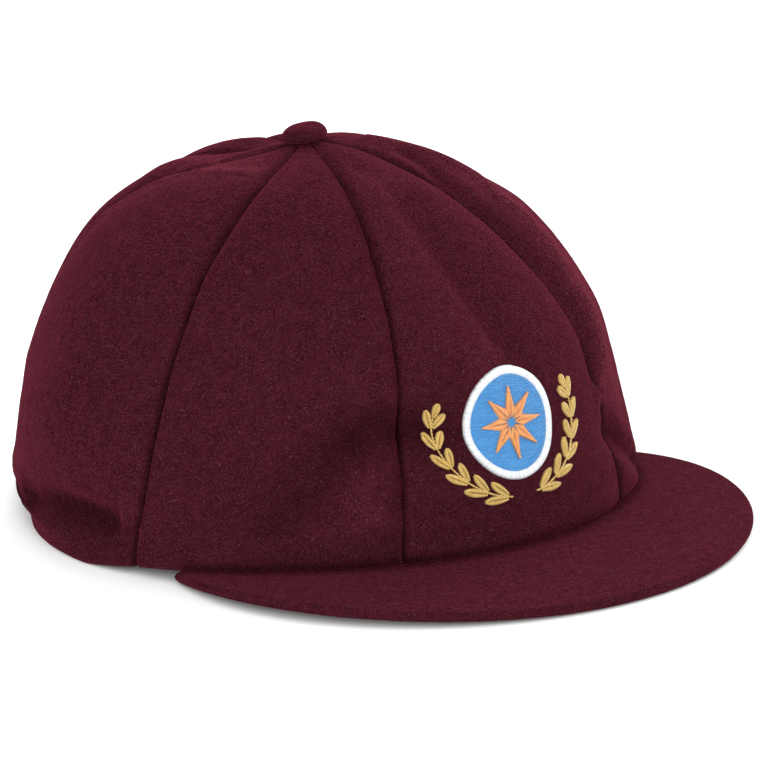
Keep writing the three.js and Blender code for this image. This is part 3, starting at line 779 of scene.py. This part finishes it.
def pad(outline, rings=6):
    """A flat backing under the threads, from its outline as places round its middle."""
    count = len(outline)
    reaches = (*np.linspace(0, 1, rings + 1)[1:], 1)
    places = np.concatenate([outline * reach for reach in reaches] + [np.zeros((2, 2))])
    lifts = np.repeat([PAD_THICKNESS, -PAD_SINK, PAD_THICKNESS, -PAD_SINK], [rings * count, count, 1, 1])
    points = badge_place(places[:, 0], places[:, 1], lifts)
    middle, under = len(points) - 2, len(points) - 1
    faces = []
    for k in range(count):
        n = (k + 1) % count
        faces.append([middle, k, n])
        for ring in range(rings):
            a, b = ring * count + k, ring * count + n
            faces.append([a, a + count, b + count, b])
        faces.append([rings * count + k, under, rings * count + n])
    return points, faces, np.full(len(points), 0.3), np.zeros(len(points))


def disc_outline(radius, corners=96):
    turn = -2 * math.pi * np.arange(corners) / corners
    return np.stack([radius * np.sin(turn), radius * np.cos(turn)], -1)


def field_parts():
    """Rows of fill stitches across the round field, laid like bricks."""
    starts, ends = [], []
    row_step, length = 0.4, 4.2
    for row, up in enumerate(np.arange(-FIELD_RADIUS + 0.3, FIELD_RADIUS - 0.2, row_step)):
        half = math.sqrt(max(FIELD_RADIUS**2 - up**2, 0))
        cuts = np.arange(-half - length, half + length, length) + (row * 0.37 % 1) * length
        cuts = np.concatenate([[-half], cuts[(cuts > -half + 0.8) & (cuts < half - 0.8)], [half]])
        for a, b in zip(cuts, cuts[1:]):
            starts.append((a, up))
            ends.append((b, up))
    return [pad(disc_outline(FIELD_RADIUS)), stitches(starts, ends, "field")]


def border_parts():
    """Satin stitches wound across the ring."""
    count = 236
    turn = 2 * math.pi * np.arange(count) / count
    inner, outer = FIELD_RADIUS - 0.1, FIELD_RADIUS + BORDER_WIDTH
    skew = 0.02
    starts = np.stack([inner * np.sin(turn), inner * np.cos(turn)], -1)
    ends = np.stack([outer * np.sin(turn + skew), outer * np.cos(turn + skew)], -1)
    return [stitches(starts, ends, "border")]


def star_parts():
    """Each ray of the star in two halves, with stitches from its ridge out to its edges."""
    starts, ends = [], []
    for ray in range(STAR_POINTS):
        turn = 2 * math.pi * ray / STAR_POINTS
        axis = np.array([math.sin(turn), math.cos(turn)])
        for hand in (-1, 1):
            half_turn = turn + hand * math.pi / STAR_POINTS
            waist = STAR_WAIST * np.array([math.sin(half_turn), math.cos(half_turn)])
            tip = STAR_RADIUS * axis
            for step in np.linspace(0.03, 0.97, 15):
                edge = waist + (tip - waist) * step
                ridge = axis * (1.0 + (STAR_RADIUS - 1.6) * step)
                starts.append(ridge)
                ends.append(edge)
    return [stitches(starts, ends, "star")]


def sprig_place(angle, offset):
    wide, low = SPRIG_HALF_WIDTH + offset, SPRIG_DROP + offset
    return np.array([wide * np.sin(angle), -low * np.cos(angle)])


def leaf_stitches(base, tip, width):
    """Slanted stitches from a leaf's midrib to its two edges."""
    starts, ends = [], []
    axis = tip - base
    length = np.linalg.norm(axis)
    axis = axis / length
    across = np.array([axis[1], -axis[0]])
    count = int(length / 0.42)
    for hand in (-1, 1):
        for k in range(count):
            t = (k + 0.4) / count
            rib = base + axis * length * t
            out = math.sin(math.pi * min(t * 0.86 + 0.12, 1)) ** 0.8 * width
            forward = min(0.75 * out, length * (1 - t))
            starts.append(rib)
            ends.append(rib + across * hand * out + axis * forward)
    return starts, ends


def sprig_parts(side):
    """A stem with pairs of leaves."""
    leaves = []
    angles = np.radians(np.linspace(SPRIG_START, SPRIG_END, SPRIG_LEAVES * 2 + 1))
    for number, angle in enumerate(angles[:-1:2]):
        ahead = LEAF_LENGTH * (1 - 0.5 * number / len(angles)) / SPRIG_HALF_WIDTH
        leaves += [(sprig_place(angle, h * 0.35), sprig_place(angle + ahead, h * 2.9), 1.25) for h in (-1, 1)]
    leaves.append((sprig_place(angles[-2], 0), sprig_place(angles[-1] + 0.06, 0), 1.2))
    starts, ends = (sum(rows, []) for rows in zip(*(leaf_stitches(*leaf) for leaf in leaves)))
    stem = [sprig_place(angle, 0) for angle in np.linspace(angles[0] - 0.06, angles[-2], 34)]
    kinds = ((starts, ends, "leaf"), (stem[:-1], stem[1:], "stem"))
    return [stitches(np.array(a) * (side, 1), np.array(b) * (side, 1), kind) for a, b, kind in kinds]


ROOTS_FROM_HEM = 3.0
ROOTS_FROM_TOP = 9.0


def crown_roots(count):
    """Random places on the crown, evenly spread over the cloth, with their outward directions and painted
    light and shade.
    """
    arcs = random.uniform(ROOTS_FROM_HEM, ARC_LENGTHS[-1] - ROOTS_FROM_TOP, count * 2)
    azimuth = random.uniform(-180, 180, count * 2)
    share = share_at_arc(arcs)
    kept = random.uniform(0, RIM_HALF_LENGTH, count * 2) < section_radius(azimuth, share)
    azimuth, share = azimuth[kept][:count], share[kept][:count]
    roots = crown_point(azimuth, share, -0.05)
    return roots, body_normal(azimuth, share), crown_painted_shading(azimuth, share)


def peak_roots(count):
    azimuth = random.uniform(-PEAK_END, PEAK_END, count * 2)
    out = random.uniform(0, 1, count * 2)
    kept = random.uniform(0, 1, count * 2) < peak_share(azimuth) * (0.6 + 0.4 * out)
    azimuth, out = azimuth[kept][:count], 0.03 + 0.95 * out[kept][:count]
    ups = np.broadcast_to(unit(np.array([0, -0.1, 1.0])), (len(azimuth), 3))
    return peak_surface(azimuth, out, 1), ups, peak_painted_shading(azimuth, out)


def across_of(normals):
    spin = random.uniform(0, 2 * math.pi, len(normals))[:, None]
    first = unit(np.cross(normals, np.array([0.31, 0.22, 0.92])))
    second = np.cross(normals, first)
    return first * np.cos(spin) + second * np.sin(spin)


def nap(roots, normals, painted_shadings, shortest, longest, width):
    """Short leaning fibres, each a thin bent blade, with the cloth's painted light and shade for each point.
    """
    count = len(roots)
    lean = across_of(normals)
    length = random.uniform(shortest, longest, count)[:, None]
    rise = random.uniform(0.25, 0.9, count)[:, None]
    side = unit(np.cross(normals, lean)) * width / 2
    middle = roots + (normals * rise * 0.7 + lean * 0.45) * length * 0.55
    tip = roots + (normals * rise * 0.85 + lean) * length
    points = np.stack([roots - side, roots + side, middle - side * 0.8, middle + side * 0.8, tip], 1)
    first = (np.arange(count) * 5)[:, None]
    quads = (first + np.array([0, 1, 3, 2])).tolist()
    tips = (first + np.array([2, 3, 4])).tolist()
    return points.reshape(-1, 3), quads + tips, np.repeat(painted_shadings, 5)


def strays(roots, normals, shortest, longest, radius):
    """Long curved hairs that lie on the cloth."""
    count, steps = len(roots), 8
    t = np.linspace(-0.5, 0.5, steps)[None, :, None]
    ahead = across_of(normals)[:, None]
    aside = np.cross(normals[:, None], ahead)
    length = random.uniform(shortest, longest, count)[:, None, None]
    bend = random.uniform(-0.5, 0.5, count)[:, None, None]
    hook = random.uniform(-0.6, 0.6, count)[:, None, None]
    lift = 0.16 + random.uniform(0, 0.5, count)[:, None, None] * (t + 0.5) ** 2
    paths = roots[:, None] + ahead * t * length + aside * (bend * t**2 + hook * t**3) * length
    paths = paths + normals[:, None] * lift
    taper = (1 - 0.5 * np.abs(t[..., 0]) * 2) * radius
    return tubes(paths, taper, 3, 1.0, np.broadcast_to(normals[:, None], paths.shape))


# Materials


# Relief in millimetres at which the wool's painted shade is darkest and its painted light lightest, and how
# dark and light it is painted there
SHADING_LOW = -9.0
SHADING_HIGH = 5.0
PAINTED_SHADE_DARKEST = 0.1
PAINTED_LIGHT_LIGHTEST = 1.9


class Look:
    """A node material under construction. What is fed to a socket is a value or another node's output."""

    def __init__(self, name):
        self.material = bpy.data.materials.new(name)
        self.material.use_nodes = True
        self.tree = self.material.node_tree
        self.shader = self.tree.nodes["Principled BSDF"]

    def feed(self, socket, value):
        if isinstance(value, (int, float, tuple)):
            socket.default_value = value
        else:
            self.tree.links.new(value, socket)

    def node(self, kind, inputs=None, **settings):
        made = self.tree.nodes.new(kind)
        for key, value in settings.items():
            setattr(made, key, value)
        for key, value in (inputs or {}).items():
            self.feed(made.inputs[key], value)
        return made

    def set(self, **values):
        for key, value in values.items():
            self.feed(self.shader.inputs[key.replace("_", " ")], value)

    def math(self, kind, a, b=0.0, clamp=False):
        return self.node("ShaderNodeMath", {0: a, 1: b}, operation=kind, use_clamp=clamp).outputs[0]

    def blend(self, a, b, share):
        """Two values in one, of which the second has a share."""
        parts = (self.math("MULTIPLY", a, 1 - share), self.math("MULTIPLY", b, share))
        return self.math("ADD", *parts, clamp=True)

    def noise(self, place, scale, detail=4.0, rough=0.55):
        inputs = {"Vector": place, "Scale": scale, "Detail": detail, "Roughness": rough}
        return self.node("ShaderNodeTexNoise", inputs).outputs["Fac"]

    def range(self, value, low, high, to_low=0.0, to_high=1.0, smooth=False):
        inputs = {"Value": value, "From Min": low, "From Max": high, "To Min": to_low, "To Max": to_high}
        kind = "SMOOTHSTEP" if smooth else "LINEAR"
        return self.node("ShaderNodeMapRange", inputs, interpolation_type=kind).outputs[0]

    def mapped(self, place, scale, turn=(0, 0, 0), move=(0, 0, 0)):
        inputs = {"Vector": place, "Scale": scale, "Rotation": turn, "Location": move}
        return self.node("ShaderNodeMapping", inputs).outputs[0]

    def place_mm(self):
        """The place on the cap in millimetres."""
        place = self.node("ShaderNodeTexCoord").outputs["Object"]
        return self.mapped(place, (1 / MM, 1 / MM, 1 / MM))

    def mix(self, factor, a, b):
        made = self.node("ShaderNodeMix", {"Factor": factor}, data_type="RGBA")
        colours = [socket for socket in made.inputs if socket.type == "RGBA"]
        for socket, value in zip(colours, (a, b)):
            self.feed(socket, (*value, 1) if isinstance(value, tuple) else value)
        return next(socket for socket in made.outputs if socket.type == "RGBA")

    def field(self, name):
        """A value stored on the mesh."""
        return self.node("ShaderNodeAttribute", attribute_name=name).outputs["Fac"]

    def scaled(self, colour, factor):
        inputs = {0: colour, "Scale": factor}
        return self.node("ShaderNodeVectorMath", inputs, operation="SCALE").outputs[0]

    def with_painted_shading(self, colour):
        """A colour made lighter or darker by the painted light and shade that the mesh stores."""
        painted_shading = self.field("painted_shading")
        dark = self.range(painted_shading, SHADING_LOW, 0.0, PAINTED_SHADE_DARKEST, 1.0)
        light = self.range(painted_shading, 0.0, SHADING_HIGH, 1.0, PAINTED_LIGHT_LIGHTEST)
        return self.scaled(colour, self.math("MULTIPLY", dark, light))

    def bump(self, height, distance, strength=1.0, **below):
        inputs = {"Distance": distance, "Strength": strength, "Height": height, **below}
        return self.node("ShaderNodeBump", inputs).outputs["Normal"]


def felt(name, dark, light, fibre, sheen):
    """Milled wool cloth: matted fibres in two shades, a fine grain, lighter hairs, a soft sheen, and painted
    light and shade from the mesh.
    """
    look = Look(name)
    mm = look.place_mm()
    warp = look.node("ShaderNodeTexNoise", {"Vector": mm, "Scale": 0.35}).outputs["Color"]
    bend = {0: warp, 1: (1.6, 1.6, 1.6), 2: mm}
    wavy = look.node("ShaderNodeVectorMath", bend, operation="MULTIPLY_ADD").outputs[0]
    mottle = look.noise(mm, 0.28, 5, 0.62)
    grain = look.noise(mm, 1.5, 4, 0.7)
    hairs = None
    turns = ((0.4, 0.2, 0.1), (1.3, 0.5, 0.9), (0.2, 1.4, 2.1), (2.2, 0.8, 1.2))
    for number, turn in enumerate(turns):
        stretched = look.mapped(wavy, (3.4, 0.42, 3.4), turn, (number * 37.0, 0, 0))
        line = look.range(look.noise(stretched, 1.0, 2, 0.5), 0.56, 0.72, smooth=True)
        hairs = line if hairs is None else look.math("MAXIMUM", hairs, line)
    wide = look.range(mottle, 0.36, 0.66)
    fine = look.range(grain, 0.34, 0.66)
    specks = look.range(look.noise(wavy, 2.6, 2, 0.6), 0.6, 0.74, smooth=True)
    cloth = look.mix(look.blend(wide, fine, 0.7), dark, light)
    cloth = look.mix(look.math("MULTIPLY", hairs, 0.34), cloth, fibre)
    cloth = look.mix(look.math("MULTIPLY", specks, 0.5), cloth, SPECK)
    lumps = look.bump(mottle, 0.0009, 0.35)
    matted = look.bump(grain, 0.00042, 0.75, Normal=lumps)
    look.set(
        # the base colour carries the painted light on crests and the painted shade and shadow in hollows
        Base_Color=look.with_painted_shading(cloth),
        Roughness=look.range(grain, 0.3, 0.7, 0.82, 1.0),
        Normal=look.bump(hairs, 0.00016, 0.6, Normal=matted),
        Specular_IOR_Level=0.0,
        Sheen_Weight=sheen,
        Sheen_Roughness=0.13,
        Sheen_Tint=SHEEN_TINT,
    )
    return look.material


def thread(name, dark, light, rough=0.42):
    """Twisted embroidery thread with a silky gloss."""
    look = Look(name)
    ply = look.math("SINE", look.math("MULTIPLY", look.field("twist"), 2 * math.pi))
    grain = look.noise(look.place_mm(), 3.0, 3, 0.6)
    colour = look.mix(look.blend(look.field("shade"), grain, 0.45), dark, light)
    look.set(
        # the colour is darker in the grooves between the plies: painted shade
        Base_Color=look.scaled(colour, look.range(ply, -1.0, 0.0, 0.8, 1.0)),
        Roughness=look.range(grain, 0.3, 0.7, rough - 0.08, rough + 0.12),
        Normal=look.bump(ply, 0.00006, 0.7),
        Specular_IOR_Level=0.5,
        Sheen_Weight=0.2,
        Sheen_Roughness=0.4,
    )
    return look.material


def plain(name, colour, rough=0.9):
    """An even cloth colour for single fibres, with the painted light and shade that a piece carries."""
    look = Look(name)
    grain = look.noise(look.place_mm(), 0.9, 2)
    uneven = look.scaled(colour, look.range(grain, 0.2, 0.8, 0.85, 1.15))
    look.set(Base_Color=look.with_painted_shading(uneven), Roughness=rough)
    look.set(Specular_IOR_Level=0.0, Sheen_Weight=0.1, Sheen_Roughness=0.5)
    return look.material


SPECK = (0.19, 0.085, 0.1)
SHEEN_TINT = (0.6, 0.085, 0.16, 1)
wool = felt("wool_cloth", (0.0105, 0.0014, 0.0026), (0.05, 0.0074, 0.0128), (0.1, 0.021, 0.033), 0.42)
peak_wool = felt("peak_cloth", (0.0115, 0.0015, 0.0028), (0.052, 0.0076, 0.0132), (0.105, 0.022, 0.034), 0.3)
nap_wool = plain("wool_nap", (0.036, 0.0056, 0.0095))
hair = plain("stray_hair", (0.2, 0.1, 0.115), 0.6)
blue = thread("blue_thread", (0.026, 0.19, 0.47), (0.05, 0.29, 0.62))
silver = thread("silver_thread", (0.55, 0.57, 0.6), (0.86, 0.88, 0.9), 0.32)
amber = thread("amber_thread", (0.5, 0.16, 0.045), (0.78, 0.36, 0.12))
gold = thread("gold_thread", (0.4, 0.24, 0.05), (0.6, 0.41, 0.11), 0.36)

for panel_number in range(len(PANELS)):
    panel_piece(panel_number, wool)
peak_piece(peak_wool)
button_piece(wool)
for motif, parts, material, colour in (
    ("field", field_parts(), blue, "blue"),
    ("border", border_parts(), silver, "silver"),
    ("star", star_parts(), amber, "amber"),
    ("sprig_right", sprig_parts(-1), gold, "gold"),
    ("sprig_left", sprig_parts(1), gold, "gold"),
):
    thread_piece("thread_" + motif, parts, material, "thread_" + colour, "badge_" + motif)

NAP_LENGTHS = (0.5, 1.1)
NAP_WIDTH = 0.055


def nap_piece(name, places, slot):
    points, faces, painted_shadings = nap(*places, *NAP_LENGTHS, NAP_WIDTH)
    add_piece(name, points, faces, nap_wool, slot, None, {"painted_shading": painted_shadings})


nap_piece("nap_crown", crown_roots(42000), "wool")
nap_piece("nap_peak", peak_roots(9000), "peak_wool")
add_piece("hairs_crown", *strays(*crown_roots(260)[:2], 1.4, 4.4, 0.017), hair, "wool")
add_piece("hairs_peak", *strays(*peak_roots(60)[:2], 1.2, 3.6, 0.017), hair, "peak_wool")


# Floor, lights and camera

FLOOR_HALF = 6.0
floor_mesh = bpy.data.meshes.new("floor")
floor_corners = [(x * FLOOR_HALF, y * FLOOR_HALF, 0) for x, y in ((-1, -1), (1, -1), (1, 1), (-1, 1))]
floor_mesh.from_pydata(floor_corners, [], [(0, 1, 2, 3)])
floor = link("floor", floor_mesh)
floor_look = Look("pale_floor")
floor_look.set(Base_Color=(0.86, 0.86, 0.86, 1), Roughness=0.9, Specular_IOR_Level=0.1)
floor_mesh.materials.append(floor_look.material)

# The camera, as it was fitted to the photograph: degrees, millimetres and pixels
IMAGE_SIDE = 767
CAMERA = {
    "azimuth": -40.54,
    "elevation": 14.96,
    "roll": -1.85,
    "distance": 1849.6,
    "focal": 6212.8,
    "target": (0.0, 0.0, 55.0),
    "across": 317.3,
    "down": 320.7,
}
SENSOR = 36.0


def direction(azimuth, elevation):
    """From the cap towards an azimuth round from the peak and an elevation, in radians."""
    level = math.cos(elevation)
    return Vector((math.sin(azimuth) * level, -math.cos(azimuth) * level, math.sin(elevation)))


def add_camera():
    turn, rise, roll = (math.radians(CAMERA[key]) for key in ("azimuth", "elevation", "roll"))
    right = Vector((math.cos(turn), math.sin(turn), 0))
    back = direction(turn, rise)
    up = back.cross(right)
    across = right * math.cos(roll) + up * math.sin(roll)
    upwards = up * math.cos(roll) - right * math.sin(roll)
    middle = IMAGE_SIDE / 2
    aim = -back + across * ((middle - CAMERA["across"]) / CAMERA["focal"])
    aim -= upwards * ((middle - CAMERA["down"]) / CAMERA["focal"])
    z = -aim.normalized()
    x = (across - z * across.dot(z)).normalized()
    y = z.cross(x)
    place = (Vector(CAMERA["target"]) + back * CAMERA["distance"] + Vector(OFFSET)) * MM
    data = bpy.data.cameras.new("camera")
    data.sensor_width = SENSOR
    data.lens = CAMERA["focal"] * SENSOR / IMAGE_SIDE
    data.clip_start = 0.05
    data.clip_end = 60
    camera = link("camera", data)
    camera.matrix_world = Matrix.Translation(place) @ Matrix((x, y, z)).transposed().to_4x4()
    bpy.context.scene.camera = camera


add_camera()


LIGHT_DISTANCE = 2.0
LIGHT_SIZE = 1.0
LIGHT_AIM = Vector((0, 0, 0.05))
WORLD_STRENGTH = 1.33


def add_light(name, azimuth, elevation, power):
    """A square soft light that faces the cap, from an azimuth round from the peak and an elevation."""
    data = bpy.data.lights.new(name, "AREA")
    data.shape = "SQUARE"
    data.size = LIGHT_SIZE
    data.energy = power
    light = link(name, data)
    back = direction(math.radians(azimuth), math.radians(elevation))
    light.location = back * LIGHT_DISTANCE + LIGHT_AIM
    light.rotation_mode = "QUATERNION"
    light.rotation_quaternion = (-back).to_track_quat("-Z", "Y")


add_light("front_light", -45, 18, 17)
add_light("low_light", -40, 6, 10)
add_light("back_light", 105, 14, 60)
add_light("top_light", 145, 25, 15)

world = bpy.data.worlds.new("studio")
world.use_nodes = True
background = world.node_tree.nodes["Background"]
background.inputs["Color"].default_value = (1, 1, 1, 1)
background.inputs["Strength"].default_value = WORLD_STRENGTH
bpy.context.scene.world = world
bpy.context.scene.view_settings.view_transform = "Standard"
